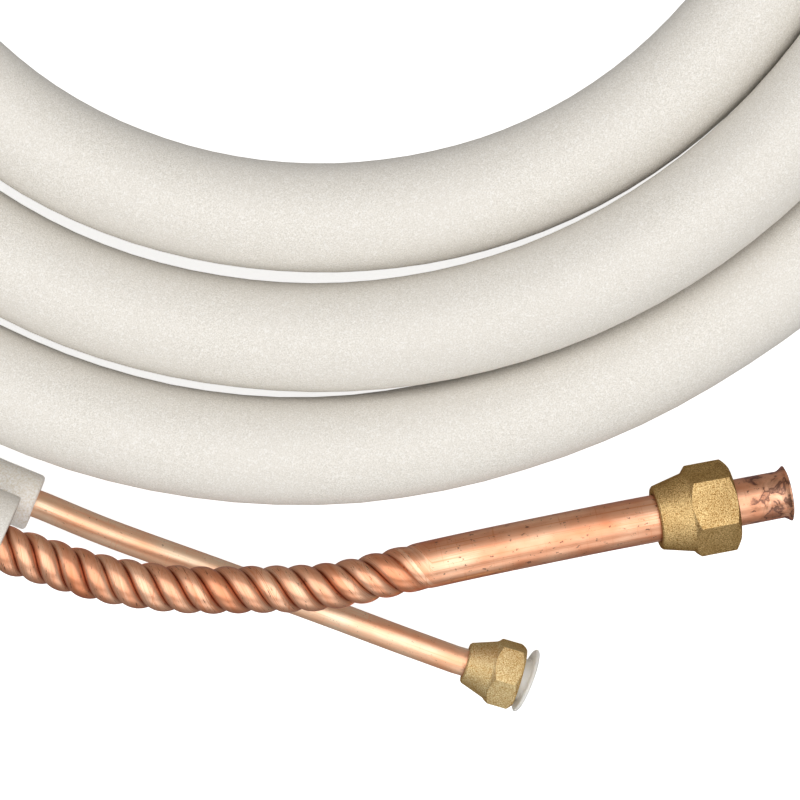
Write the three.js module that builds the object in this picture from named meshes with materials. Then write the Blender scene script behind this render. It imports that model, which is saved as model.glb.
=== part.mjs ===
// A coiled pair of insulated copper lines for a split air conditioner, lying flat on the floor.
// The thin liquid line runs underneath, the thick suction line rests along the top of it, and both
// wind outwards together. Each bare end carries a brass flare nut. Millimetres, Z up, floor at Z = 0.
import * as THREE from "three";

// Copper tubes and their foam sleeves
const suctionTube = { radius: 7.94, wall: 1.0 };
const liquidTube = { radius: 4.76, wall: 0.8 };
const suctionFoam = { radius: 18.25 };
const liquidFoam = { radius: 10.25 };
const boreGap = 0.3; // between a tube and the sleeve around it
const sleeveGap = 0.3; // between the two sleeves

// Sides of each round section: few where foam hides it, more where it shows
const sides = { foam: 12, bore: 8, hiddenTube: 10, bareTube: 15, tubeBore: 6, nut: 24, turned: 16 };

// The coil: its axis, placed so that the whole set is centred on the origin, and its radius, lift and
// lean at numbered turns. A whole number is the front of the coil, and the line runs counter-clockwise
// seen from above.
const coilAxis = new THREE.Vector2(16.9, 27.67);
const stationsPerTurn = 24;
const tailStep = { suction: 8, liquid: 14 }; // between stations of the bare tails
const foamStart = 0.625;
const liquidFoamEnd = 3.947;
const suctionFoamEnd = 3.944;
const radiusAtTurn = [
  [0.55, 122], [0.625, 140], [0.7, 154], [0.8, 163], [0.9, 167.5], [1.0, 169], [1.1, 173.2],
  [1.25, 178.5], [1.5, 190], [1.75, 200.5], [1.93, 207.5], [2.0, 208], [2.12, 208.2], [2.25, 214],
  [2.5, 229], [2.75, 240], [2.93, 246], [3.0, 246.2], [3.1, 242.8], [3.25, 252], [3.5, 268],
  [3.75, 279.5], [3.88, 282.6], [3.947, 285.4], [4.0, 288.6],
];
const liftAtTurn = [[1.97, 0], [2.1, 14], [2.3, 14], [2.45, 0]]; // the second turn rides up at the right
const leanAtTurn = [[3.55, 0], [3.947, 25]]; // degrees the pair tips outwards towards its end

// The near ends, as points along each centre line measured from the coil's axis
const suctionTail = [
  [-93.2, -282.4, 35.2], [-68.3, -290.3, 34.1], [-43.4, -294.2, 32.7], [-18.4, -294.7, 31],
  [6.6, -293.9, 29.4], [31.7, -288.7, 27.7], [56.7, -283.5, 26], [79.7, -279, 24.4], [98.7, -275.4, 23],
];
const suctionTip = [160.1, -265, 16.1];
const liquidTail = [
  [-69.7, -279.6, 9.9], [-32, -293.6, 9.9], [6.2, -307.8, 10.2], [28, -315.9, 11.4], [48.7, -323.4, 12.4],
];
const liquidTip = [61.9, -327.3, 12.4];

// The corrugated length of the suction tube: a right-handed three-start thread of broad crests and
// narrow grooves. It starts inside the foam, and the bore is narrow from a little before it.
const corrugation = {
  insideFoam: 14, length: 160, fade: 16, lead: 25, ringsPerLead: 12, boreBefore: 48, boreAfter: 4,
};
const corrugationProfile = [0, 0.1, 1.1, 1.8, 0.5]; // depth below the crest across one of three starts

// Flared tube ends: the wall opens out by the spread, and its edge is turned over by the rounding
const suctionFlare = { spread: 1.46, length: 2.5, rounding: 0.2 };
const liquidFlare = { spread: 1.74, length: 2.2, rounding: 0.2 };
const lipShare = 0.6; // of the wall, left at the flare's open edge

// Flare nuts, measured from the small end of the cone to the open front. The hole clears the tube, and
// the thread clears the flare.
const nutFit = { tube: 0.4, flare: 0.85 };
const nutFrontShare = 0.97; // of the apothem, where the front chamfer meets the front face
const nutStep = { run: 0.4, share: 0.7 }; // from the cone to the chamfered back of the hexagon
const suctionNut = {
  flats: 27, coneRadius: 10.85, coneTop: 13.35, coneLength: 11.5, length: 26.3,
  hole: suctionTube.radius + nutFit.tube,
  thread: suctionTube.radius + suctionFlare.spread + nutFit.flare,
  threadDepth: 12.5, backChamfer: 1.1, frontChamfer: 1.6, turned: 17.3, // degrees
};
const liquidNut = {
  flats: 20.6, coneRadius: 7.1, coneTop: 10.2, coneLength: 9.5, length: 19,
  hole: liquidTube.radius + nutFit.tube,
  thread: liquidTube.radius + liquidFlare.spread + nutFit.flare,
  threadDepth: 9, backChamfer: 1.1, frontChamfer: 1.8, turned: 30, // degrees
};
const seatGap = 0.42; // along the axis, between a flare and its nut's 45 degree seat
const nutSetBack = 18.8; // bare tube standing out of the loose nut

// Mushroom plugs pressed into the nuts
const plugDisc = { overhang: 1.0, thickness: 1.3, standOff: 2.4, edge: 0.3, bevel: 0.4 };
const plugStem = { depth: 5.6, taper: 0.7, gap: 0.3 };
const nearPlugTilt = { aside: 6, down: 5 }; // degrees: this plug sits a little askew

// The far ends, inside the coil
const farSuction = { length: 62, rise: 3.2 };
const farLiquid = { length: 58, rise: 2.5 };
const farBend = { level: 0.45, middle: 0.25, middleRise: 0.6 }; // shares of that length and rise

const sleeveDistance = suctionFoam.radius + liquidFoam.radius + sleeveGap;
const liquidHeight = liquidFoam.radius * Math.cos(Math.PI / sides.foam);
const vertical = new THREE.Vector3(0, 0, 1);

// A smooth curve through hand-set values
function valueAt(table, at) {
  const last = table.length - 1;
  if (at <= table[0][0]) return table[0][1];
  if (at >= table[last][0]) return table[last][1];
  const i = table.findIndex((row) => row[0] > at) - 1;
  const slope = (k) => {
    const a = Math.max(k - 1, 0);
    const b = Math.min(k + 1, last);
    return (table[b][1] - table[a][1]) / (table[b][0] - table[a][0]);
  };
  const span = table[i + 1][0] - table[i][0];
  const u = (at - table[i][0]) / span;
  return (
    table[i][1] * (1 + 2 * u) * (1 - u) ** 2 +
    table[i + 1][1] * u * u * (3 - 2 * u) +
    slope(i) * span * u * (1 - u) ** 2 -
    slope(i + 1) * span * u * u * (1 - u)
  );
}

function easedAt(table, at) {
  const i = table.findIndex((row) => row[0] > at);
  if (i === 0) return table[0][1];
  if (i < 0) return table[table.length - 1][1];
  const [from, to] = [table[i - 1], table[i]];
  return THREE.MathUtils.lerp(from[1], to[1], THREE.MathUtils.smoothstep(at, from[0], to[0]));
}

// Centres of the two lines at a given turn of the coil
function coilPoint(turn, line) {
  const angle = (turn - 0.25) * 2 * Math.PI;
  const outward = new THREE.Vector3(Math.cos(angle), Math.sin(angle), 0);
  const centre = outward.clone().multiplyScalar(valueAt(radiusAtTurn, turn));
  centre.add(new THREE.Vector3(coilAxis.x, coilAxis.y, liquidHeight + easedAt(liftAtTurn, turn)));
  if (line === "liquid") return centre;
  const lean = THREE.MathUtils.degToRad(easedAt(leanAtTurn, turn));
  return centre
    .addScaledVector(vertical, sleeveDistance * Math.cos(lean))
    .addScaledVector(outward, sleeveDistance * Math.sin(lean));
}

function coilPath(line, foamEnd) {
  const turns = [];
  for (let k = Math.ceil(foamStart * stationsPerTurn); k / stationsPerTurn < foamEnd - 0.01; k++) {
    turns.push(k / stationsPerTurn);
  }
  turns.push(foamEnd);
  return turns.map((turn) => {
    const at = coilPoint(turn, line);
    const ahead = coilPoint(turn + 0.002, line).sub(coilPoint(turn - 0.002, line)).normalize();
    return { at, ahead };
  });
}

// Stations along the bare tube from the sleeve's end to the tip, spaced by a given step
function tailPath(from, points, tip, step) {
  const knots = points.map(([x, y, z]) => new THREE.Vector3(x + coilAxis.x, y + coilAxis.y, z));
  const end = new THREE.Vector3(tip[0] + coilAxis.x, tip[1] + coilAxis.y, tip[2]);
  const lead = from.at.clone().addScaledVector(from.ahead, 2);
  const curve = new THREE.CatmullRomCurve3([from.at, lead, ...knots], false, "centripetal");
  const count = Math.round(curve.getLength() / step);
  const stations = curve.getSpacedPoints(count).slice(1, -1).map((at, k) => ({
    at,
    ahead: curve.getTangentAt((k + 1) / count),
  }));
  const last = knots[knots.length - 1];
  const straight = end.clone().sub(last).normalize();
  return [...stations, { at: last, ahead: straight }, { at: end, ahead: straight }];
}

function farStations(from, { length, rise }) {
  const back = from.ahead.clone().negate();
  const level = back.clone().setZ(0).normalize();
  const at = (run, height) => from.at.clone().addScaledVector(level, run).addScaledVector(vertical, height);
  return [
    { at: at(length, rise), ahead: level.clone().negate() },
    { at: at(length * farBend.level, rise), ahead: level.clone().negate() },
    {
      at: at(length * farBend.middle, rise * farBend.middleRise),
      ahead: at(0, 0).sub(at(length * farBend.level, rise)).normalize(),
    },
  ];
}

// One ring of points square to the path. The radius may change round the ring.
function ring({ at, ahead }, count, radius, turned = 0) {
  const side = ahead.clone().cross(vertical).normalize();
  const top = side.clone().cross(ahead);
  return Array.from({ length: count }, (_, k) => {
    const angle = (k / count) * 2 * Math.PI;
    const r = typeof radius === "function" ? radius(k, angle) : radius;
    return at
      .clone()
      .addScaledVector(side, r * Math.cos(angle + turned))
      .addScaledVector(top, r * Math.sin(angle + turned));
  });
}

// A closed skin over rings taken in order. A loop joins the last ring to the first.
function skin(name, rings, looped, material) {
  const start = [];
  const points = [];
  for (const loop of rings) {
    start.push(points.length);
    points.push(...loop);
  }
  const faces = [];
  const pairs = looped ? rings.length : rings.length - 1;
  for (let p = 0; p < pairs; p++) {
    const q = (p + 1) % rings.length;
    const [m, n] = [rings[p].length, rings[q].length];
    const a = (i) => start[p] + (i % m);
    const b = (j) => start[q] + (j % n);
    const [stepsA, stepsB] = [m > 1 ? m : 0, n > 1 ? n : 0];
    let [i, j] = [0, 0];
    while (i < stepsA || j < stepsB) {
      if (j >= stepsB || (i < stepsA && (i + 0.5) / m <= (j + 0.5) / n)) {
        faces.push([a(i), a(i + 1), b(j)]);
        i++;
      } else {
        faces.push([a(i), b(j + 1), b(j)]);
        j++;
      }
    }
  }
  const volume = faces.reduce((sum, [i, j, k]) => {
    return sum + points[i].dot(points[j].clone().cross(points[k]));
  }, 0);
  const outwards = volume < 0 ? faces.map(([i, j, k]) => [i, k, j]) : faces;
  const geometry = new THREE.BufferGeometry();
  geometry.setAttribute("position", new THREE.Float32BufferAttribute(points.flatMap((p) => p.toArray()), 3));
  geometry.setIndex(outwards.flat());
  geometry.computeVertexNormals();
  const mesh = new THREE.Mesh(geometry, material);
  mesh.name = name;
  return mesh;
}

// Apothem to corner radius, for bores whose flats must clear the tube
const cornerOf = (apothem, count) => apothem / Math.cos(Math.PI / count);

function sleeve(name, path, foam, tube, turned, material) {
  const outer = path.map((station) => ring(station, sides.foam, foam.radius, turned));
  const boreRadius = cornerOf(tube.radius + boreGap, sides.bore);
  const bore = path.map((station) => ring(station, sides.bore, boreRadius)).reverse();
  return skin(name, [...outer, ...bore], true, material);
}

// Rings over a flared tip: the wall opens out at 45 degrees and is cut square
function flaredTip(station, tube, flare, inward, turned = 0) {
  const step = station.ahead.clone().multiplyScalar(inward);
  const round = (run, radius) => {
    const at = station.at.clone().addScaledVector(step, run);
    return ring({ at, ahead: station.ahead }, sides.bareTube, radius, turned);
  };
  const lip = tube.radius + flare.spread;
  const boreRadius = tube.radius - tube.wall;
  return {
    outer: [
      round(flare.length, tube.radius),
      round(flare.length - flare.spread, lip),
      round(0, lip - flare.rounding),
    ],
    bore: [
      round(0, lip - flare.rounding - tube.wall * lipShare),
      round(flare.length, boreRadius),
      round(flare.length * 2, boreRadius),
    ],
  };
}

// Distance along a list of stations
function distances(path) {
  let run = 0;
  return path.map((station, k) => {
    if (k > 0) run += station.at.distanceTo(path[k - 1].at);
    return run;
  });
}

function between(path, runs, run) {
  const i = Math.min(Math.max(runs.findIndex((r) => r > run) - 1, 0), path.length - 2);
  const u = (run - runs[i]) / (runs[i + 1] - runs[i]);
  return {
    at: path[i].at.clone().lerp(path[i + 1].at, u),
    ahead: path[i].ahead.clone().lerp(path[i + 1].ahead, u).normalize(),
  };
}

// Corrugated rings: one section turned step by step, so its crests wind along the tube
function corrugatedRings(path, runs, from, tube) {
  const step = corrugation.lead / corrugation.ringsPerLead;
  const rings = [];
  for (let run = 0; run <= corrugation.length; run += step) {
    const depth = Math.min(run / corrugation.fade, (corrugation.length - run) / corrugation.fade, 1);
    const radius = (k) => tube.radius - depth * corrugationProfile[k % corrugationProfile.length];
    const turned = (-2 * Math.PI * run) / corrugation.lead;
    rings.push(ring(between(path, runs, from + run), sides.bareTube, radius, turned));
  }
  return rings;
}

// A short forged flare nut, open at the front, along a station that points out of its front
function flareNut(name, front, shape, material) {
  const apothem = shape.flats / 2;
  const across = (angle) => apothem / Math.cos(((angle + Math.PI / 6) % (Math.PI / 3)) - Math.PI / 6);
  const hexWithin = (limit) => (k, angle) => Math.min(across(angle), limit);
  const corner = apothem / Math.cos(Math.PI / 6);
  const moved = (run) => ({ at: front.at.clone().addScaledVector(front.ahead, run), ahead: front.ahead });
  const turned = Math.PI / 2 + THREE.MathUtils.degToRad(shape.turned);
  const solid = (run, limit) => ring(moved(run), sides.nut, hexWithin(limit), turned);
  const hexBack = shape.coneLength - shape.length;
  const seat = shape.thread - shape.hole;
  const hollow = (run, radius) => ring(moved(run), sides.turned, radius, turned);
  const outer = [
    solid(-shape.length, shape.coneRadius),
    solid(hexBack - nutStep.run, shape.coneTop),
    solid(hexBack, corner - shape.backChamfer * nutStep.share),
    solid(hexBack + shape.backChamfer, corner),
    solid(-shape.frontChamfer, corner),
    solid(0, apothem * nutFrontShare),
  ];
  const inner = [
    hollow(0, shape.thread),
    hollow(-shape.threadDepth, shape.thread),
    hollow(-shape.threadDepth - seat, shape.hole),
    hollow(-shape.length, shape.hole),
  ];
  return skin(name, [...outer, ...inner], true, material);
}

function plug(name, front, nut, material) {
  const moved = (run) => ({ at: front.at.clone().addScaledVector(front.ahead, run), ahead: front.ahead });
  const round = (run, radius) => ring(moved(run), sides.turned, radius);
  const stem = nut.thread - plugStem.gap;
  const disc = nut.flats / 2 + plugDisc.overhang;
  const top = plugDisc.standOff + plugDisc.thickness;
  return skin(
    name,
    [
      [moved(-plugStem.depth).at],
      round(-plugStem.depth, stem - plugStem.taper),
      round(plugDisc.standOff, stem),
      round(plugDisc.standOff, disc),
      round(top - plugDisc.edge, disc),
      round(top, disc - plugDisc.bevel),
      [moved(top).at],
    ],
    false,
    material,
  );
}

// Distance from a nut's open front back to the flare seated in it
const seatedDepth = (nut, flare, tube) =>
  nut.thread + nut.threadDepth - tube.radius - flare.length - seatGap;

const forward = (station, run) => ({
  at: station.at.clone().addScaledVector(station.ahead, run),
  ahead: station.ahead,
});
const tilted = ({ at, ahead }, { aside, down }) => {
  const side = ahead.clone().cross(vertical).normalize();
  const turned = ahead
    .clone()
    .applyAxisAngle(vertical, -THREE.MathUtils.degToRad(aside))
    .applyAxisAngle(side, -THREE.MathUtils.degToRad(down));
  return { at, ahead: turned };
};
const reversed = (station) => ({ at: station.at, ahead: station.ahead.clone().negate() });

// The two centre lines from end to end
const suctionCoil = coilPath("suction", suctionFoamEnd);
const liquidCoil = coilPath("liquid", liquidFoamEnd);
const suctionNear = tailPath(suctionCoil[suctionCoil.length - 1], suctionTail, suctionTip, tailStep.suction);
const liquidNear = tailPath(liquidCoil[liquidCoil.length - 1], liquidTail, liquidTip, tailStep.liquid);
const suctionFar = farStations(suctionCoil[0], farSuction);
const liquidFar = farStations(liquidCoil[0], farLiquid);

function suctionTubeMesh(material) {
  const path = [...suctionFar, ...suctionCoil, ...suctionNear];
  const runs = distances(path);
  const foamEndRun = runs[suctionFar.length + suctionCoil.length - 1];
  const from = foamEndRun - corrugation.insideFoam;
  const until = from + corrugation.length;
  const grooves = corrugatedRings(path, runs, from, suctionTube);
  const lastTurn = (-2 * Math.PI * (grooves.length - 1)) / corrugation.ringsPerLead;
  const tip = path[path.length - 1];
  const near = flaredTip(tip, suctionTube, suctionFlare, -1, lastTurn);
  const far = flaredTip(path[0], suctionTube, suctionFlare, 1);
  const hidden = path.filter((_, k) => k > 0 && runs[k] < from - 2);
  const smooth = path.filter((_, k) => runs[k] > until + 2 && k < path.length - 1);
  const outer = [
    ...far.outer.slice().reverse(),
    ...hidden.map((station) => ring(station, sides.hiddenTube, suctionTube.radius)),
    ...grooves,
    ...smooth.map((station) => ring(station, sides.bareTube, suctionTube.radius, lastTurn)),
    ...near.outer,
  ];
  const deepest = Math.max(...corrugationProfile);
  const boreRadius = (k) => {
    const grooved = runs[k] > from - corrugation.boreBefore && runs[k] < until + corrugation.boreAfter;
    return suctionTube.radius - suctionTube.wall - (grooved ? deepest : 0);
  };
  const bore = path
    .map((station, k) => ring(station, sides.tubeBore, boreRadius(k)))
    .slice(1, -1)
    .reverse();
  const rings = [...outer, ...near.bore, ...bore, ...far.bore.slice().reverse()];
  return skin("suction_tube", rings, true, material);
}

function liquidTubeMesh(material) {
  const path = [...liquidFar, ...liquidCoil, ...liquidNear];
  const coilEnd = liquidFar.length + liquidCoil.length;
  const near = flaredTip(path[path.length - 1], liquidTube, liquidFlare, -1);
  const far = flaredTip(path[0], liquidTube, liquidFlare, 1);
  const outer = path
    .map((station, k) => {
      const count = k >= coilEnd ? sides.bareTube : sides.hiddenTube;
      return ring(station, count, liquidTube.radius);
    })
    .slice(1, -1);
  const bore = path
    .map((station) => ring(station, sides.tubeBore, liquidTube.radius - liquidTube.wall))
    .slice(1, -1)
    .reverse();
  const rings = [...far.outer.slice().reverse(), ...outer, ...near.outer, ...near.bore, ...bore];
  return skin("liquid_tube", [...rings, ...far.bore.slice().reverse()], true, material);
}

const finish = (colour, metalness, roughness) =>
  new THREE.MeshStandardMaterial({ color: colour, metalness, roughness });
const copper = () => finish(0xc98a68, 1, 0.35);
const brass = () => finish(0xb9a06a, 1, 0.45);
const whiteFoam = () => finish(0xe1ded4, 0, 0.6);
const greyFoam = () => finish(0xafaa9b, 0, 0.7);
const milkyPlastic = () => finish(0xe6e4dc, 0, 0.4);

const lineSet = new THREE.Group();
lineSet.name = "line_set";

lineSet.add(
  sleeve("suction_insulation", suctionCoil, suctionFoam, suctionTube, 0, whiteFoam()),
  sleeve("liquid_insulation", liquidCoil, liquidFoam, liquidTube, Math.PI / sides.foam, greyFoam()),
  suctionTubeMesh(copper()),
  liquidTubeMesh(copper()),
);

// Loose nut on the open suction end, and the plugged nut seated on the liquid end
const suctionNutFront = forward(suctionNear[suctionNear.length - 1], -nutSetBack);
const liquidNutFront = forward(
  liquidNear[liquidNear.length - 1],
  seatedDepth(liquidNut, liquidFlare, liquidTube),
);
lineSet.add(
  flareNut("suction_nut", suctionNutFront, suctionNut, brass()),
  flareNut("liquid_nut", liquidNutFront, liquidNut, brass()),
  plug("liquid_plug", tilted(liquidNutFront, nearPlugTilt), liquidNut, milkyPlastic()),
);

// Both far ends are plugged the same way, but straight
const farSuctionFront = forward(
  reversed(suctionFar[0]),
  seatedDepth(suctionNut, suctionFlare, suctionTube),
);
const farLiquidFront = forward(reversed(liquidFar[0]), seatedDepth(liquidNut, liquidFlare, liquidTube));
lineSet.add(
  flareNut("far_suction_nut", farSuctionFront, suctionNut, brass()),
  plug("far_suction_plug", farSuctionFront, suctionNut, milkyPlastic()),
  flareNut("far_liquid_nut", farLiquidFront, liquidNut, brass()),
  plug("far_liquid_plug", farLiquidFront, liquidNut, milkyPlastic()),
);

export default lineSet;
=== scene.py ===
import math
import bpy
from mathutils import Matrix, Vector, noise


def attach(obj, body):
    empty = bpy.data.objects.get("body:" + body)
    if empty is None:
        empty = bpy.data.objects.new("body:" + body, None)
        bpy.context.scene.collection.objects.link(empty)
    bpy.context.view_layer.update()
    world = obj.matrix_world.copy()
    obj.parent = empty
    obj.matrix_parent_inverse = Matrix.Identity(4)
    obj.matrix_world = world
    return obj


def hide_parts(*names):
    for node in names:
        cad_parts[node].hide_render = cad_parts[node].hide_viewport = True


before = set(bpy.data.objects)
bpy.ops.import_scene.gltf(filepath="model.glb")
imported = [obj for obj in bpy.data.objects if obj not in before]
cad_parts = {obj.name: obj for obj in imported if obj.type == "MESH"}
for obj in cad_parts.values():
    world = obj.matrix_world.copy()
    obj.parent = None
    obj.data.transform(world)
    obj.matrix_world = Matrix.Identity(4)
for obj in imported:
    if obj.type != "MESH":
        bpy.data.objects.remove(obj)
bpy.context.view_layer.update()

# A coiled pair of insulated copper lines: thin liquid line below, thick suction line on top of it.
# Lengths are in millimetres in the dictionaries and metres in the meshes.
mm = 0.001

coil = {
    "axis": (16.9, 27.67),
    "foamStart": 0.625,  # turns; a whole number is the front of the coil
    "liquidFoamEnd": 3.947,
    "suctionFoamEnd": 3.944,
    "radius": [
        (0.55, 122), (0.625, 140), (0.7, 154), (0.8, 163), (0.9, 167.5), (1.0, 169), (1.1, 173.2),
        (1.25, 178.5), (1.5, 190), (1.75, 200.5), (1.93, 207.5), (2.0, 208), (2.12, 208.2), (2.25, 214),
        (2.5, 229), (2.75, 240), (2.93, 246), (3.0, 246.2), (3.1, 242.8), (3.25, 252), (3.5, 268),
        (3.75, 279.5), (3.88, 282.6), (3.947, 285.4), (4.0, 288.6),
    ],
    "lift": [(1.97, 0), (2.1, 14), (2.3, 14), (2.45, 0)],
    "lean": [(3.55, 0), (3.947, 25)],
    "liquidHeight": 10.25 * math.cos(math.pi / 12),
    "linesApart": 18.25 + 10.25 + 0.3,
    "stepsPerTurn": 120,
}

suctionEnds = {
    "near": [
        (-93.2, -282.4, 35.2), (-68.3, -290.3, 34.1), (-43.4, -294.2, 32.7), (-18.4, -294.7, 31),
        (6.6, -293.9, 29.4), (31.7, -288.7, 27.7), (56.7, -283.5, 26), (79.7, -279, 24.4),
        (98.7, -275.4, 23),
    ],
    "tip": (160.1, -265, 16.1),
    "farLength": 62,
    "farRise": 3.2,
}

liquidEnds = {
    "near": [
        (-69.7, -279.6, 9.9), (-32, -293.6, 9.9), (6.2, -307.8, 10.2), (28, -315.9, 11.4),
        (48.7, -323.4, 12.4),
    ],
    "tip": (61.9, -327.3, 12.4),
    "farLength": 58,
    "farRise": 2.5,
}


def deselectAll():
    if bpy.context.object and bpy.context.object.mode != "OBJECT":
        bpy.ops.object.mode_set(mode="OBJECT")
    bpy.ops.object.select_all(action="DESELECT")


def makeActive(piece):
    deselectAll()
    piece.select_set(True)
    bpy.context.view_layer.objects.active = piece


def applyModifier(piece, kind, **settings):
    makeActive(piece)
    bpy.ops.object.modifier_add(type=kind)
    modifier = piece.modifiers[-1]
    for key, value in settings.items():
        setattr(modifier, key, value)
    bpy.ops.object.modifier_apply(modifier=modifier.name)


def smoothstep(value, low, high):
    x = min(max((value - low) / (high - low), 0.0), 1.0)
    return x * x * (3 - 2 * x)


def valueAt(rows, at):
    last = len(rows) - 1
    if at <= rows[0][0]:
        return rows[0][1]
    if at >= rows[last][0]:
        return rows[last][1]
    i = next(k for k, row in enumerate(rows) if row[0] > at) - 1

    def slope(k):
        a, b = max(k - 1, 0), min(k + 1, last)
        return (rows[b][1] - rows[a][1]) / (rows[b][0] - rows[a][0])

    span = rows[i + 1][0] - rows[i][0]
    u = (at - rows[i][0]) / span
    return (rows[i][1] * (1 + 2 * u) * (1 - u) ** 2 + rows[i + 1][1] * u * u * (3 - 2 * u)
            + slope(i) * span * u * (1 - u) ** 2 - slope(i + 1) * span * u * u * (1 - u))


def easedAt(rows, at):
    if at < rows[0][0]:
        return rows[0][1]
    for a, b in zip(rows, rows[1:]):
        if at < b[0]:
            return a[1] + (b[1] - a[1]) * smoothstep(at, a[0], b[0])
    return rows[-1][1]


def coilPoint(turn, line):
    angle = (turn - 0.25) * 2 * math.pi
    outward = Vector((math.cos(angle), math.sin(angle), 0))
    at = outward * valueAt(coil["radius"], turn)
    at += Vector((*coil["axis"], coil["liquidHeight"] + easedAt(coil["lift"], turn)))
    if line == "liquid":
        return at
    lean = math.radians(easedAt(coil["lean"], turn))
    return at + coil["linesApart"] * (Vector((0, 0, math.cos(lean))) + outward * math.sin(lean))


def coilLine(line, foamEnd, steps):
    count = round((foamEnd - coil["foamStart"]) * steps)
    turns = [coil["foamStart"] + (foamEnd - coil["foamStart"]) * k / count for k in range(count + 1)]
    return [coilPoint(turn, line) for turn in turns]


def catmull(points, step):
    # a smooth line through the points, with even short steps
    ext = [points[0] * 2 - points[1], *points, points[-1] * 2 - points[-2]]
    line = []
    for a, b, c, d in zip(ext, ext[1:], ext[2:], ext[3:]):
        ta = math.sqrt((b - a).length)
        tb = math.sqrt((c - b).length)
        tc = math.sqrt((d - c).length)
        mb = (c - b) + tb * ((b - a) / ta - (c - a) / (ta + tb))
        mc = (c - b) + tb * ((d - c) / tc - (d - b) / (tb + tc))
        count = max(2, round((c - b).length / step))
        for k in range(count):
            u = k / count
            line.append(b * (1 + 2 * u) * (1 - u) ** 2 + c * u * u * (3 - 2 * u)
                        + mb * u * (1 - u) ** 2 - mc * u * u * (1 - u))
    return line + [points[-1]]


def nearLine(coilEnd, ahead, ends, step):
    knots = [Vector((x + coil["axis"][0], y + coil["axis"][1], z)) for x, y, z in ends["near"]]
    tip = Vector((ends["tip"][0] + coil["axis"][0], ends["tip"][1] + coil["axis"][1], ends["tip"][2]))
    line = catmull([coilEnd, coilEnd + ahead * 2, *knots], step)
    count = round((tip - knots[-1]).length / step)
    return line + [knots[-1].lerp(tip, k / count) for k in range(1, count + 1)]


def farLine(coilStart, back, ends, step):
    level = Vector((back.x, back.y, 0)).normalized()
    up = Vector((0, 0, 1))
    points = [
        coilStart + level * ends["farLength"] * share + up * ends["farRise"] * rise
        for share, rise in ((1, 1), (0.72, 1), (0.45, 1), (0.25, 0.6), (0, 0))
    ]
    return catmull(points, step)[:-1]


def wholeLine(line, foamEnd, ends, step):
    inFoam = coilLine(line, foamEnd, coil["stepsPerTurn"])
    start, end = coil["foamStart"], foamEnd
    ahead = (coilPoint(end + 0.002, line) - coilPoint(end - 0.002, line)).normalized()
    back = (coilPoint(start - 0.002, line) - coilPoint(start + 0.002, line)).normalized()
    far = farLine(inFoam[0], back, ends, step)
    near = nearLine(inFoam[-1], ahead, ends, step)
    return far, inFoam, near


print("centre lines")
suctionFar, suctionCoil, suctionNear = wholeLine("suction", coil["suctionFoamEnd"], suctionEnds, 0.7)
liquidFar, liquidCoil, liquidNear = wholeLine("liquid", coil["liquidFoamEnd"], liquidEnds, 2.0)


def linearColour(text, alpha=1.0):
    parts = [int(text[k:k + 2], 16) / 255 for k in (1, 3, 5)]
    return (*[c / 12.92 if c <= 0.04045 else ((c + 0.055) / 1.055) ** 2.4 for c in parts], alpha)


def newMaterial(name):
    material = bpy.data.materials.new(name)
    material.use_nodes = True
    tree = material.node_tree
    return material, tree, tree.nodes["Principled BSDF"]


def addNode(tree, kind, inputs=None, stops=(), **settings):
    node = tree.nodes.new(kind)
    for key, value in settings.items():
        setattr(node, key, value)
    for key, value in (inputs or {}).items():
        if isinstance(value, bpy.types.NodeSocket):
            tree.links.new(value, node.inputs[key])
        else:
            node.inputs[key].default_value = value
    for k, (place, colour) in enumerate(stops):
        if k >= len(node.color_ramp.elements):
            node.color_ramp.elements.new(place)
        node.color_ramp.elements[k].position = place
        node.color_ramp.elements[k].color = colour
    return node


def grey(value):
    return (value, value, value, 1)


def foamMaterial(name, look):
    # blown polyethylene: a satin skin over tiny closed cells, with a fine grain; the small bright glints
    # are painted highlights, white specks in the colour
    material, tree, shader = newMaterial(name)
    place = addNode(tree, "ShaderNodeTexCoord").outputs["Object"]
    cells = addNode(tree, "ShaderNodeTexVoronoi", {"Vector": place, "Scale": 1 / (look["cell"] * mm)})
    fine = addNode(tree, "ShaderNodeTexNoise", {
        "Vector": place, "Scale": 1 / (look["grain"] * mm), "Detail": 4.0}).outputs["Fac"]
    broad = addNode(tree, "ShaderNodeTexNoise", {
        "Vector": place, "Scale": 1 / (look["cloud"] * mm), "Detail": 3.0}).outputs["Fac"]
    tone = addNode(tree, "ShaderNodeValToRGB", {"Fac": fine}, stops=[
        (0.33, linearColour(look["dark"])), (0.66, linearColour(look["light"]))]).outputs["Color"]
    blend = addNode(tree, "ShaderNodeMapRange", {
        "Value": broad, "From Min": 0.35, "From Max": 0.7, "To Max": 0.45}).outputs[0]
    toned = addNode(tree, "ShaderNodeMix", {
        0: blend, 6: tone, 7: linearColour(look["body"])}, data_type="RGBA").outputs[2]
    # painted highlights: white specks stand in for glints of light on the cells
    paintedGlintFrom = look["paintedGlintFrom"]
    paintedGlintMask = addNode(tree, "ShaderNodeValToRGB", {"Fac": cells.outputs["Color"]}, stops=[
        (paintedGlintFrom, grey(0)), (paintedGlintFrom + 0.1, grey(look["paintedGlintStrength"]))]).outputs["Color"]
    withPaintedGlints = addNode(tree, "ShaderNodeMix", {
        0: paintedGlintMask, 6: toned, 7: linearColour(look["paintedGlint"])}, data_type="RGBA").outputs[2]
    tree.links.new(withPaintedGlints, shader.inputs["Base Color"])
    low, high = look["rough"]
    rough = addNode(tree, "ShaderNodeMapRange", {
        "Value": fine, "From Min": 0.3, "From Max": 0.7, "To Min": low, "To Max": high}).outputs[0]
    tree.links.new(rough, shader.inputs["Roughness"])
    height = addNode(tree, "ShaderNodeMath", {0: cells.outputs["Distance"], 1: fine}, operation="ADD")
    bump = addNode(tree, "ShaderNodeBump", {
        "Height": height.outputs[0], "Strength": look["bump"], "Distance": look["depth"] * mm})
    tree.links.new(bump.outputs["Normal"], shader.inputs["Normal"])
    shader.inputs["IOR"].default_value = 1.5
    return material


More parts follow.
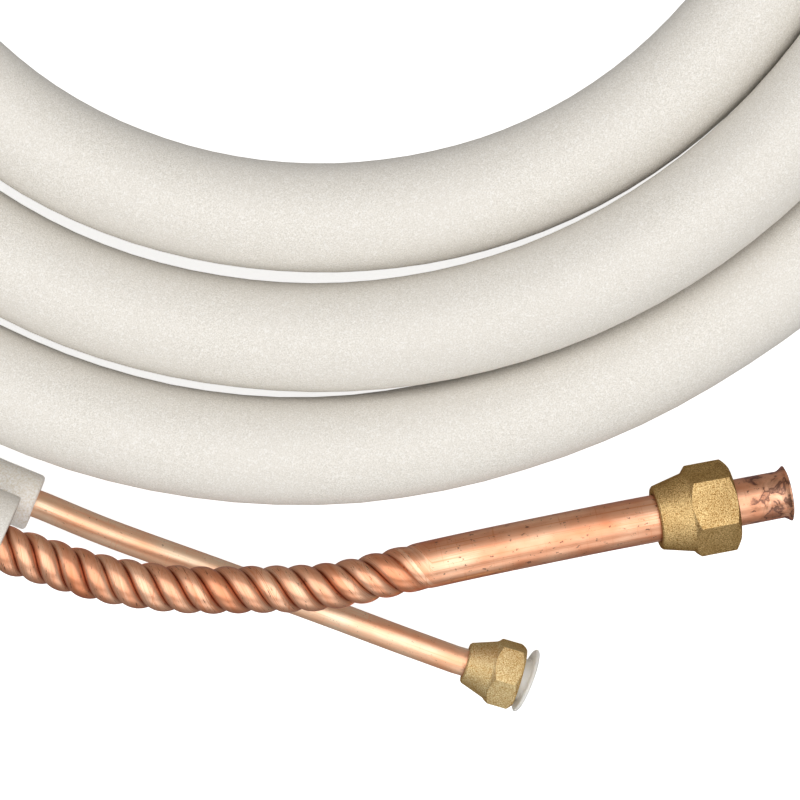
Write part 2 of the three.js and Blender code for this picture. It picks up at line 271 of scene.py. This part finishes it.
# millimetres across and along the tube, for each pattern that runs with it
copperPatterns = {
    "dieLines": (0.6, 70, {"Detail": 4.0}),
    "bands": (12, 22, {"Detail": 3.0}),
    "nicks": (1.5, 2.4, {"Detail": 5.0, "Roughness": 0.7}),  # dark pin marks and short scratches
    "rings": (16, 0.7, {"Detail": 2.0}),
    "pools": (6, 5.5, {"Detail": 5.0, "Roughness": 0.55, "Distortion": 0.5}),  # flux stains
    "scuffs": (7, 1.6, {"Detail": 4.0}),
}


def copperMaterial(name, look):
    # drawn copper: soft warm metal with faint die lines along the tube, hairline rings, nicks and tarnish
    material, tree, shader = newMaterial(name)
    uv = addNode(tree, "ShaderNodeUVMap", uv_map="tubeMap").outputs["UV"]
    pattern = {}
    for key, (across, along, settings) in copperPatterns.items():
        where = addNode(tree, "ShaderNodeMapping", {"Vector": uv, "Scale": (1 / across, 1 / along, 1)})
        texture = addNode(tree, "ShaderNodeTexNoise", {
            "Vector": where.outputs["Vector"], "Scale": 1.0, **settings})
        pattern[key] = texture.outputs["Fac"]

    # brown flux stains with dark outlines, only on the heated end behind the flare
    run = addNode(tree, "ShaderNodeSeparateXYZ", {"Vector": uv}).outputs["Y"]
    begun = addNode(tree, "ShaderNodeMapRange", {
        "Value": run, "From Min": look["stainFrom"] - 3, "From Max": look["stainFrom"] + 1}).outputs[0]
    notOver = addNode(tree, "ShaderNodeMapRange", {
        "Value": run, "From Min": look["stainTo"] - 2, "From Max": look["stainTo"],
        "To Min": 1.0, "To Max": 0.0}).outputs[0]
    heated = addNode(tree, "ShaderNodeMath", {0: begun, 1: notOver}, operation="MULTIPLY").outputs[0]

    # painted shade: the bottoms of the grooves are darkened towards brown, where shade falls
    sunk = addNode(tree, "ShaderNodeAttribute", attribute_name="sunk").outputs["Fac"]
    grooveShade = addNode(tree, "ShaderNodeMapRange", {
        "Value": sunk, "From Min": 0.6, "From Max": 1.85, "To Max": 0.8}).outputs[0]

    base = addNode(tree, "ShaderNodeValToRGB", {"Fac": pattern["bands"]}, stops=[
        (0.3, linearColour(look["deep"])), (0.68, linearColour(look["pale"]))]).outputs["Color"]
    nickFrom = look["nickFrom"]
    layers = [  # pattern, how strong it is at each value, colour
        ("dieLines", [(0.3, 0.75), (0.42, 0), (0.55, 0), (0.66, 0.8)], "deep"),
        ("nicks", [(nickFrom, 0), (nickFrom + 0.03, 0.75)], "tarnish"),
        ("rings", [(0.64, 0), (0.7, 0.5)], "deep"),
        # painted shade in the grooves
        ("sunk", [], "paintedGrooveShade"),
        ("pools", [(0.42, 0), (0.52, 0.5), (0.66, 0.75)], "scorch"),
        ("pools", [(0.52, 0), (0.545, 0.75), (0.575, 0.7), (0.61, 0)], "tarnish"),
    ]
    for key, strengths, colour in layers:
        share = grooveShade
        if strengths:
            stops = [(at, grey(value)) for at, value in strengths]
            share = addNode(tree, "ShaderNodeValToRGB", {"Fac": pattern[key]}, stops=stops).outputs["Color"]
        if key == "pools":
            share = addNode(tree, "ShaderNodeMath", {0: heated, 1: share}, operation="MULTIPLY").outputs[0]
        base = addNode(tree, "ShaderNodeMix", {
            0: share, 6: base, 7: linearColour(look[colour])}, data_type="RGBA").outputs[2]
    tree.links.new(base, shader.inputs["Base Color"])

    shader.inputs["Metallic"].default_value = 1.0
    shader.inputs["Specular Tint"].default_value = linearColour(look["rim"])
    # a thin film of drawing oil gives the white sheen
    shader.inputs["Coat Weight"].default_value = look["oil"]
    shader.inputs["Coat Roughness"].default_value = 0.3
    low, high = look["rough"]
    rough = addNode(tree, "ShaderNodeMapRange", {
        "Value": pattern["dieLines"], "From Min": 0.3, "From Max": 0.7, "To Min": low, "To Max": high})
    tree.links.new(rough.outputs[0], shader.inputs["Roughness"])
    scuffed = addNode(tree, "ShaderNodeValToRGB", {"Fac": pattern["scuffs"]}, stops=[
        (0.64, grey(0)), (0.69, grey(0.5))]).outputs["Color"]
    height = addNode(tree, "ShaderNodeMath", {0: pattern["dieLines"], 1: scuffed}, operation="SUBTRACT")
    bump = addNode(tree, "ShaderNodeBump", {
        "Height": height.outputs[0], "Strength": 0.45, "Distance": 0.05 * mm})
    tree.links.new(bump.outputs["Normal"], shader.inputs["Normal"])
    return material


def brassMaterial(name, look):
    # hot-forged brass, blasted: a yellow metal with a sandy grain that glitters where it faces the light
    material, tree, shader = newMaterial(name)
    place = addNode(tree, "ShaderNodeTexCoord").outputs["Object"]
    grain = addNode(tree, "ShaderNodeTexNoise", {
        "Vector": place, "Scale": 1 / (look["grain"] * mm), "Detail": 3.0, "Roughness": 0.7}).outputs["Fac"]
    patch = addNode(tree, "ShaderNodeTexNoise", {
        "Vector": place, "Scale": 1 / (look["patch"] * mm), "Detail": 3.0}).outputs["Fac"]
    tone = addNode(tree, "ShaderNodeValToRGB", {"Fac": grain}, stops=[
        (0.36, linearColour(look["deep"])), (0.6, linearColour(look["pale"]))]).outputs["Color"]
    shade = addNode(tree, "ShaderNodeMapRange", {
        "Value": patch, "From Min": 0.35, "From Max": 0.7, "To Max": 0.3}).outputs[0]
    shaded = addNode(tree, "ShaderNodeMix", {
        0: shade, 6: tone, 7: linearColour(look["deep"])}, data_type="RGBA").outputs[2]
    tree.links.new(shaded, shader.inputs["Base Color"])
    shader.inputs["Metallic"].default_value = 1.0
    shader.inputs["Specular Tint"].default_value = linearColour(look["rim"])
    low, high = look["rough"]
    rough = addNode(tree, "ShaderNodeMapRange", {
        "Value": grain, "From Min": 0.3, "From Max": 0.7, "To Min": low, "To Max": high})
    tree.links.new(rough.outputs[0], shader.inputs["Roughness"])
    bump = addNode(tree, "ShaderNodeBump", {"Height": grain, "Strength": 1.0, "Distance": 0.2 * mm})
    tree.links.new(bump.outputs["Normal"], shader.inputs["Normal"])
    return material


def milkyMaterial(name, look):
    # soft low-density polyethylene, thin enough to let light through: milky, with a waxy face
    material, tree, shader = newMaterial(name)
    place = addNode(tree, "ShaderNodeTexCoord").outputs["Object"]
    cloud = addNode(tree, "ShaderNodeTexNoise", {
        "Vector": place, "Scale": 1 / (look["cloud"] * mm), "Detail": 3.0}).outputs["Fac"]
    tone = addNode(tree, "ShaderNodeValToRGB", {"Fac": cloud}, stops=[
        (0.35, linearColour(look["dark"])), (0.7, linearColour(look["light"]))]).outputs["Color"]
    tree.links.new(tone, shader.inputs["Base Color"])
    low, high = look["rough"]
    rough = addNode(tree, "ShaderNodeMapRange", {"Value": cloud, "To Min": low, "To Max": high})
    tree.links.new(rough.outputs[0], shader.inputs["Roughness"])
    bump = addNode(tree, "ShaderNodeBump", {"Height": cloud, "Strength": 0.2, "Distance": 0.1 * mm})
    tree.links.new(bump.outputs["Normal"], shader.inputs["Normal"])
    shader.inputs["IOR"].default_value = 1.51
    shader.inputs["Transmission Weight"].default_value = 0.35
    shader.inputs["Subsurface Weight"].default_value = 0.4
    shader.inputs["Subsurface Radius"].default_value = (1, 1, 1)
    shader.inputs["Subsurface Scale"].default_value = 1.5 * mm
    return material


# the real cells are about 0.2 mm, and are drawn as coarse as they need to be to show
# in both foams the glint colour is a painted highlight
whiteFoam = foamMaterial("whitePolyethyleneFoam", {
    "cell": 0.45, "grain": 0.42, "cloud": 35, "dark": "#c6c1b7", "light": "#e4dfd7", "body": "#d7d2ca",
    "paintedGlint": "#ffffff", "paintedGlintFrom": 0.68, "paintedGlintStrength": 0.2,
    "rough": (0.36, 0.58), "bump": 0.5, "depth": 0.14,
})
greyFoam = foamMaterial("greyPolyethyleneFoam", {
    "cell": 0.8, "grain": 0.7, "cloud": 35, "dark": "#dcd3c1", "light": "#ffffff", "body": "#fff9ec",
    "paintedGlint": "#fbfaf5", "paintedGlintFrom": 0.8, "paintedGlintStrength": 0.6,
    "rough": (0.32, 0.5), "bump": 0.55, "depth": 0.2,
})


def stationsOf(line):
    # place, direction ahead, side, top and run length at each point of a line
    frames, run = [], 0.0
    for k, at in enumerate(line):
        ahead = (line[min(k + 1, len(line) - 1)] - line[max(k - 1, 0)]).normalized()
        side = ahead.cross(Vector((0, 0, 1))).normalized()
        if k:
            run += (at - line[k - 1]).length
        frames.append((at, ahead, side, side.cross(ahead), run))
    return frames


draftRadius = 10
mapRadius = 8.0  # the tube's map is as wide as the way round a tube of this radius


def tubeAlong(name, line, radiusAt, sides, crest, twistAt=None):
    # a round curve along the line, made a mesh, then each ring set to its radius and twist
    deselectAll()
    bpy.ops.curve.primitive_nurbs_path_add()
    piece = bpy.context.object
    piece.name = piece.data.name = name
    curve = piece.data
    curve.splines.clear()
    spline = curve.splines.new("POLY")
    spline.points.add(len(line) - 1)
    for point, at in zip(spline.points, line):
        point.co = (*(at * mm), 1)
    curve.twist_mode = "Z_UP"
    curve.use_fill_caps = False
    curve.bevel_depth = draftRadius * mm
    curve.bevel_resolution = (sides - 4) // 2
    bpy.ops.object.convert(target="MESH")
    piece = bpy.context.object
    mesh = piece.data
    ringSize = len(mesh.vertices) // len(line)
    frames = stationsOf(line)
    angles, sunk = [], []
    for k, (at, ahead, side, top, run) in enumerate(frames):
        for j in range(ringSize):
            vertex = mesh.vertices[k * ringSize + j]
            arm = vertex.co / mm - at
            angle = math.atan2(arm.dot(top), arm.dot(side))
            angles.append(angle)
            if twistAt:
                angle += twistAt(run)
            r = radiusAt(run, angle)
            sunk.append(max(0.0, crest - r))
            vertex.co = (at + (side * math.cos(angle) + top * math.sin(angle)) * r) * mm
    # how far each point lies below the crests, in millimetres, for the painted shade in the grooves
    mesh.attributes.new("sunk", "FLOAT", "POINT").data.foreach_set("value", sunk)
    uv = mesh.uv_layers.active or mesh.uv_layers.new()
    uv.name = "tubeMap"
    for polygon in mesh.polygons:
        turns = [angles[v] for v in polygon.vertices]
        wraps = max(turns) - min(turns) > math.pi
        for loop, angle in zip(polygon.loop_indices, turns):
            vertex = mesh.loops[loop].vertex_index
            shown = angle + 2 * math.pi if wraps and angle < 0 else angle
            uv.data[loop].uv = (shown * mapRadius, frames[vertex // ringSize][4])
    makeActive(piece)
    bpy.ops.object.mode_set(mode="EDIT")
    bpy.ops.mesh.select_all(action="SELECT")
    bpy.ops.mesh.normals_make_consistent(inside=False)
    bpy.ops.object.mode_set(mode="OBJECT")
    return piece, frames


def facesOutward(piece, frames):
    # a tube that is still open may come out with its faces turned in
    mesh = piece.data
    ringSize = len(mesh.vertices) // len(frames)
    polygon = mesh.polygons[len(mesh.polygons) // 2]
    at = frames[min(polygon.vertices) // ringSize][0] * mm
    if (polygon.center - at).dot(polygon.normal) < 0:
        makeActive(piece)
        bpy.ops.object.mode_set(mode="EDIT")
        bpy.ops.mesh.select_all(action="SELECT")
        bpy.ops.mesh.flip_normals()
        bpy.ops.object.mode_set(mode="OBJECT")


def finishPiece(piece, material, body, slot, *nodes):
    piece.data.materials.clear()
    piece.data.materials.append(material)
    makeActive(piece)
    bpy.ops.object.shade_smooth_by_angle(angle=math.radians(35))
    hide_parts(*nodes)
    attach(piece, body)


def sleeve(name, line, spec, material, slot):
    def radiusAt(run, angle):
        # bent foam is never quite even: long soft waves and a small ripple
        x, y = math.cos(angle), math.sin(angle)
        wave = noise.noise(Vector((run / 70, x * 0.8, y * 0.8 + spec["seed"])))
        ripple = noise.noise(Vector((run / 16, x * 2.2, y * 2.2 + spec["seed"])))
        return spec["radius"] - 0.25 - 0.3 * (wave + 0.5) - 0.08 * ripple

    piece, frames = tubeAlong(name, line, radiusAt, spec["sides"], spec["radius"])
    facesOutward(piece, frames)
    wall = spec["radius"] - 0.5 - spec["bore"]
    applyModifier(piece, "SOLIDIFY", thickness=wall * mm, offset=-1, use_rim=True)
    for vertex in piece.data.vertices:
        vertex.co.z = max(vertex.co.z, 0.0)  # lies flat on the floor
    # the knife-cut ends have a slightly soft edge
    applyModifier(piece, "BEVEL", width=spec["edge"] * mm, segments=3, limit_method="ANGLE",
                  angle_limit=math.radians(60))
    finishPiece(piece, material, "lines", slot, spec["node"])


suctionSleeve = {
    "node": "suction_insulation", "radius": 18.25, "bore": 8.3, "sides": 48, "seed": 0.0, "edge": 0.6,
}
liquidSleeve = {
    "node": "liquid_insulation", "radius": 10.25, "bore": 5.1, "sides": 36, "seed": 7.0, "edge": 1.3,
}


print("foam sleeves")
sleeve("suctionSleeve", suctionCoil, suctionSleeve, whiteFoam, "white_foam")
sleeve("liquidSleeve", liquidCoil, liquidSleeve, greyFoam, "grey_foam")

suctionPipe = {
    "radius": 7.94, "wall": 1.0, "sides": 60, "inFoam": 14, "grooved": 160, "fade": 16, "lead": 25,
    "starts": 3, "depth": 1.9, "roundness": 0.97, "flareRadius": 9.4, "flareLength": 2.5,
    "step": 0.7, "lipStep": 0.3,
}
liquidPipe = {
    "radius": 4.76, "wall": 0.8, "sides": 40, "flareRadius": 6.5, "flareLength": 2.2,
    "step": 4, "lipStep": 0.4,
}


def runOf(line):
    total = 0.0
    for a, b in zip(line, line[1:]):
        total += (b - a).length
    return total


def subdivided(points, step):
    line = []
    for a, b in zip(points, points[1:]):
        count = max(1, round((b - a).length / step))
        line += [a.lerp(b, k / count) for k in range(count)]
    return line + [points[-1]]


def flareAt(toTip, spec):
    # a lip that turns out at 45 degrees with a rounded edge
    if toTip > spec["flareLength"]:
        return 0.0
    rise = spec["flareRadius"] - spec["radius"]
    x = 1 - toTip / spec["flareLength"]
    return rise * min(1.0, x * x * 0.5 + x * 0.62)


def pipe(name, parts, spec, material, node):
    far, inFoam, near = parts
    # coarse steps where foam hides the tube, close ones from just inside the sleeve's mouth
    mouth = subdivided(inFoam[-8:], spec["step"])
    lip = subdivided(near[-6:], spec["lipStep"])
    line = [*far, *inFoam[:-8:3], *mouth, *near[1:-6], *lip]
    total = runOf(line)
    start = total - runOf(near) - spec.get("inFoam", 0)

    def radiusAt(run, angle):
        r = spec["radius"] + flareAt(min(run, total - run), spec)
        if "grooved" in spec and start < run < start + spec["grooved"]:
            ends = min(run - start, start + spec["grooved"] - run) / spec["fade"]
            # a right-handed thread of round ridges with narrow grooves
            phase = (spec["starts"] * (angle / (2 * math.pi) + (run - start) / spec["lead"])) % 1.0
            x = abs(2 * phase - 1)  # 0 on the crest, 1 in the groove
            full = 1 - math.sqrt(1 - spec["roundness"] ** 2)
            bulge = (1 - math.sqrt(1 - (spec["roundness"] * x) ** 2)) / full
            r -= spec["depth"] * min(max(ends, 0), 1) * bulge
        return r

    def twistAt(run):
        # mesh lines follow the grooves
        return -2 * math.pi * min(max(run - start, 0), spec["grooved"]) / spec["lead"]

    twist = twistAt if "grooved" in spec else None
    piece, frames = tubeAlong(name, line, radiusAt, spec["sides"], spec["radius"], twist)
    facesOutward(piece, frames)
    applyModifier(piece, "SOLIDIFY", thickness=spec["wall"] * mm, offset=-1, use_rim=True)
    finishPiece(piece, material, "lines", "copper", node)


print("copper tubes")
suctionTotal = runOf([*suctionFar, *suctionCoil, *suctionNear[1:]])
liquidTotal = runOf([*liquidFar, *liquidCoil, *liquidNear[1:]])
suctionCopper = copperMaterial("drawnCopperSuction", {
    "deep": "#dc8a5e", "pale": "#fbcba8", "tarnish": "#4a2a20", "scorch": "#9c5c3e",
    "rim": "#a8522c", "paintedGrooveShade": "#86462a", "rough": (0.33, 0.47), "oil": 0.7, "nickFrom": 0.605,
    "stainFrom": suctionTotal - 17, "stainTo": suctionTotal - 2.5,
})
# the liquid tube gets a paler copy of the same copper: painted light, so that it shows brighter
liquidCopper = copperMaterial("drawnCopperLiquid", {
    "deep": "#fdba8c", "pale": "#ffe6c8", "tarnish": "#5a3426", "scorch": "#b87a58",
    "rim": "#d07c50", "paintedGrooveShade": "#86462a", "rough": (0.42, 0.55), "oil": 0.9, "nickFrom": 0.63,
    "stainFrom": liquidTotal - 13, "stainTo": liquidTotal - 8,
})
pipe("suctionTube", (suctionFar, suctionCoil, suctionNear), suctionPipe, suctionCopper, "suction_tube")
pipe("liquidTube", (liquidFar, liquidCoil, liquidNear), liquidPipe, liquidCopper, "liquid_tube")


suctionNut = {
    "flats": 27, "coneSmall": 10.85, "coneLarge": 13.3, "cone": 11.5, "length": 26.3,
    "hole": 8.34, "thread": 10.25, "threadDepth": 12.5,
    "backChamfer": 1.3, "frontChamfer": 1.7, "edge": 0.65, "turn": 12.7,
}
liquidNut = {
    "flats": 20.6, "coneSmall": 7.1, "coneLarge": 9.85, "cone": 9.5, "length": 19,
    "hole": 5.16, "thread": 7.35, "threadDepth": 9,
    "backChamfer": 1.3, "frontChamfer": 1.9, "edge": 0.45, "turn": 0,
}
plugShape = {
    "overhang": 0.9, "thickness": 1.2, "standOff": 1.9, "depth": 5.5, "taper": 0.7, "gap": 0.3, "edge": 0.4,
}


def spun(name, profile, steps):
    # a section of (radius, height) spun into a turned solid about Z
    deselectAll()
    mesh = bpy.data.meshes.new(name)
    closed = profile[0][0] > 0
    edges = [(k, k + 1) for k in range(len(profile) - 1)] + ([(len(profile) - 1, 0)] if closed else [])
    mesh.from_pydata([(r * mm, 0, z * mm) for r, z in profile], edges, [])
    piece = bpy.data.objects.new(name, mesh)
    bpy.context.collection.objects.link(piece)
    makeActive(piece)
    bpy.ops.object.mode_set(mode="EDIT")
    bpy.ops.mesh.select_all(action="SELECT")
    bpy.ops.mesh.spin(steps=steps, angle=2 * math.pi, center=(0, 0, 0), axis=(0, 0, 1))
    bpy.ops.mesh.select_all(action="SELECT")
    bpy.ops.mesh.remove_doubles(threshold=0.00001)
    bpy.ops.mesh.normals_make_consistent(inside=False)
    bpy.ops.object.mode_set(mode="OBJECT")
    return piece


def placePiece(piece, front, ahead):
    # Z of the piece goes along ahead, its X stays up
    up = Vector((0, 0, 1))
    level = (up - ahead * up.dot(ahead)).normalized()
    turn = Matrix((level, ahead.cross(level), ahead)).transposed().to_4x4()
    makeActive(piece)
    piece.matrix_world = Matrix.Translation(front * mm) @ turn
    bpy.ops.object.transform_apply(location=True, rotation=True, scale=True)


def makeNut(name, spec, material, front, ahead, body, node):
    corner = spec["flats"] / 2 / math.cos(math.pi / 6)
    back = spec["cone"] - spec["length"]
    rear, face = spec["backChamfer"], spec["frontChamfer"]
    blank = spun(name, [
        (spec["hole"], -spec["length"]), (spec["coneSmall"] - 0.5, -spec["length"]),
        (spec["coneSmall"], -spec["length"] + 0.5), (spec["coneLarge"], back - 1.0),
        (spec["coneLarge"] + 0.3, back - 0.5), (corner - rear, back), (corner + 0.2, back + rear),
        (corner + 0.2, -face), (spec["flats"] / 2 - 0.4, 0),
        (spec["thread"] + 0.5, 0), (spec["thread"], -0.6), (spec["thread"], -spec["threadDepth"]),
        (spec["hole"], -spec["threadDepth"] - (spec["thread"] - spec["hole"])),
    ], 72)
    deselectAll()
    turn = math.radians(30 + spec["turn"])
    bpy.ops.mesh.primitive_cylinder_add(vertices=6, radius=corner * mm, depth=spec["length"] * 2 * mm,
                                        location=(0, 0, 0), rotation=(0, 0, turn))
    prism = bpy.context.object
    bpy.ops.object.transform_apply(location=False, rotation=True, scale=True)
    applyModifier(blank, "BOOLEAN", operation="INTERSECT", object=prism, solver="EXACT")
    bpy.data.objects.remove(prism, do_unlink=True)
    applyModifier(blank, "BEVEL", width=spec["edge"] * mm, segments=3, limit_method="ANGLE",
                  angle_limit=math.radians(24))
    placePiece(blank, front, ahead)
    finishPiece(blank, material, body, "brass", node)


def makePlug(name, nut, front, ahead, body, node):
    stem = nut["thread"] - plugShape["gap"]
    disc = nut["flats"] / 2 + plugShape["overhang"]
    low, high = plugShape["standOff"], plugShape["standOff"] + plugShape["thickness"]
    edge, tip = plugShape["edge"], stem - plugShape["taper"]
    inner = tip - 1.1
    piece = spun(name, [
        (0, high - 0.5), (inner, high - 0.5), (inner + 0.5, high - 0.15),
        (disc - edge, high), (disc, high - edge), (disc, low + edge), (disc - edge, low),
        (stem + 0.3, low), (stem, low - 0.3), (tip, edge - plugShape["depth"]),
        (tip - edge, -plugShape["depth"]), (0, -plugShape["depth"]),
    ], 64)
    placePiece(piece, front, ahead)
    finishPiece(piece, milkyPlastic, body, "milky_plastic", node)


print("nuts and plugs")
forgedBrass = brassMaterial("forgedBrass", {
    "grain": 0.4, "patch": 7, "deep": "#90601e", "pale": "#fcdc9e", "rim": "#7a5022", "rough": (0.3, 0.46),
})
# the small nut gets a paler copy of the same brass: painted light, so that it shows brighter
paintedLitBrass = brassMaterial("forgedBrassPaintedLit", {
    "grain": 0.4, "patch": 7, "deep": "#c08a3a", "pale": "#fff0be", "rim": "#96682e", "rough": (0.38, 0.55),
})
milkyPlastic = milkyMaterial("milkyPolyethylene", {
    "cloud": 5, "dark": "#f2efe6", "light": "#fdfcf8", "rough": (0.28, 0.45),
})

suctionAhead = (suctionNear[-1] - suctionNear[-2]).normalized()
liquidAhead = (liquidNear[-1] - liquidNear[-2]).normalized()
farSuctionAhead = (suctionFar[0] - suctionFar[1]).normalized()
farLiquidAhead = (liquidFar[0] - liquidFar[1]).normalized()
nutSetBack = 18.8  # from the loose nut's front to the tube's lip
seatGap = 0.42
nearPlugTilt = {"aside": 6, "down": 3}  # degrees


def seated(nut, tube):
    # how far the nut's open front stands ahead of the tube's lip, with its seat against the flare
    return nut["thread"] + nut["threadDepth"] - tube["radius"] - tube["flareLength"] - seatGap


suctionSeat = seated(suctionNut, suctionPipe)
liquidSeat = seated(liquidNut, liquidPipe)

looseFront = suctionNear[-1] - suctionAhead * nutSetBack
makeNut("suctionNut", suctionNut, forgedBrass, looseFront, suctionAhead, "loose_nut", "suction_nut")
liquidFront = liquidNear[-1] + liquidAhead * liquidSeat
makeNut("liquidNut", liquidNut, paintedLitBrass, liquidFront, liquidAhead, "liquid_end", "liquid_nut")
# this plug sits a little askew
askew = Matrix.Rotation(math.radians(-nearPlugTilt["aside"]), 3, "Z") @ liquidAhead
level = askew.cross(Vector((0, 0, 1))).normalized()
askew = Matrix.Rotation(math.radians(-nearPlugTilt["down"]), 3, level) @ askew
makePlug("liquidPlug", liquidNut, liquidFront, askew, "liquid_end", "liquid_plug")
farSuctionFront = suctionFar[0] + farSuctionAhead * suctionSeat
makeNut("farSuctionNut", suctionNut, forgedBrass, farSuctionFront, farSuctionAhead,
        "far_suction_end", "far_suction_nut")
makePlug("farSuctionPlug", suctionNut, farSuctionFront, farSuctionAhead,
         "far_suction_end", "far_suction_plug")
farLiquidFront = liquidFar[0] + farLiquidAhead * liquidSeat
makeNut("farLiquidNut", liquidNut, paintedLitBrass, farLiquidFront, farLiquidAhead,
        "far_liquid_end", "far_liquid_nut")
makePlug("farLiquidPlug", liquidNut, farLiquidFront, farLiquidAhead, "far_liquid_end", "far_liquid_plug")


print("stage")
deselectAll()
bpy.ops.mesh.primitive_plane_add(size=8, location=(0, 0, 0))
floor = bpy.context.object
floor.name = "floor"
floorPaint, _, floorShader = newMaterial("paleFloor")
floorShader.inputs["Base Color"].default_value = linearColour("#f7f7f6")
floorShader.inputs["Roughness"].default_value = 0.8
floorShader.inputs["Specular IOR Level"].default_value = 0.2
floorShader.inputs["Emission Color"].default_value = (1, 1, 1, 1)  # lit from below like a light table
floorShader.inputs["Emission Strength"].default_value = 0.65
floor.data.materials.append(floorPaint)
floor.visible_diffuse = floor.visible_glossy = False  # a matt table: it throws no light back

world = bpy.context.scene.world or bpy.data.worlds.new("studio")
bpy.context.scene.world = world
world.use_nodes = True
background = world.node_tree.nodes["Background"]
background.inputs["Color"].default_value = (1, 1, 1, 1)
# the room fills the matt foam softly, and shows darker in the metal, as with black boards round the table
roomLight = {"onFoam": 0.46, "inMetal": 0.34}
rays = addNode(world.node_tree, "ShaderNodeLightPath")
room = addNode(world.node_tree, "ShaderNodeMapRange", {
    "Value": rays.outputs["Is Glossy Ray"], "To Min": roomLight["onFoam"], "To Max": roomLight["inMetal"]})
world.node_tree.links.new(room.outputs[0], background.inputs["Strength"])


def softBox(name, size, place, aim, power):
    bpy.ops.object.light_add(type="AREA", location=place)
    lamp = bpy.context.object
    lamp.name = name
    lamp.data.shape = "RECTANGLE"
    lamp.data.size, lamp.data.size_y = size
    lamp.data.energy = power
    lamp.rotation_mode = "QUATERNION"
    lamp.rotation_quaternion = (Vector(aim) - Vector(place)).to_track_quat("-Z", "Y")


softBox("topBox", (3.2, 2.8), (0.0, 0.1, 1.9), (0, 0, 0), 46)
softBox("frontBox", (1.6, 0.8), (0.3, -1.8, 0.9), (0, -0.2, 0), 5)

view = {"place": (46.9, 2.7, 1196.8), "tilt": 10, "sensor": 36, "lens": 161.19}
bpy.ops.object.camera_add(location=Vector(view["place"]) * mm)
camera = bpy.context.object
# leans back from over the coil's middle, so it looks at the near ends
camera.rotation_euler = (-math.radians(view["tilt"]), 0, 0)
camera.data.sensor_width = view["sensor"]
camera.data.lens = view["lens"]
camera.data.clip_start, camera.data.clip_end = 0.05, 20
bpy.context.scene.camera = camera
bpy.context.scene.view_settings.view_transform = "Standard"
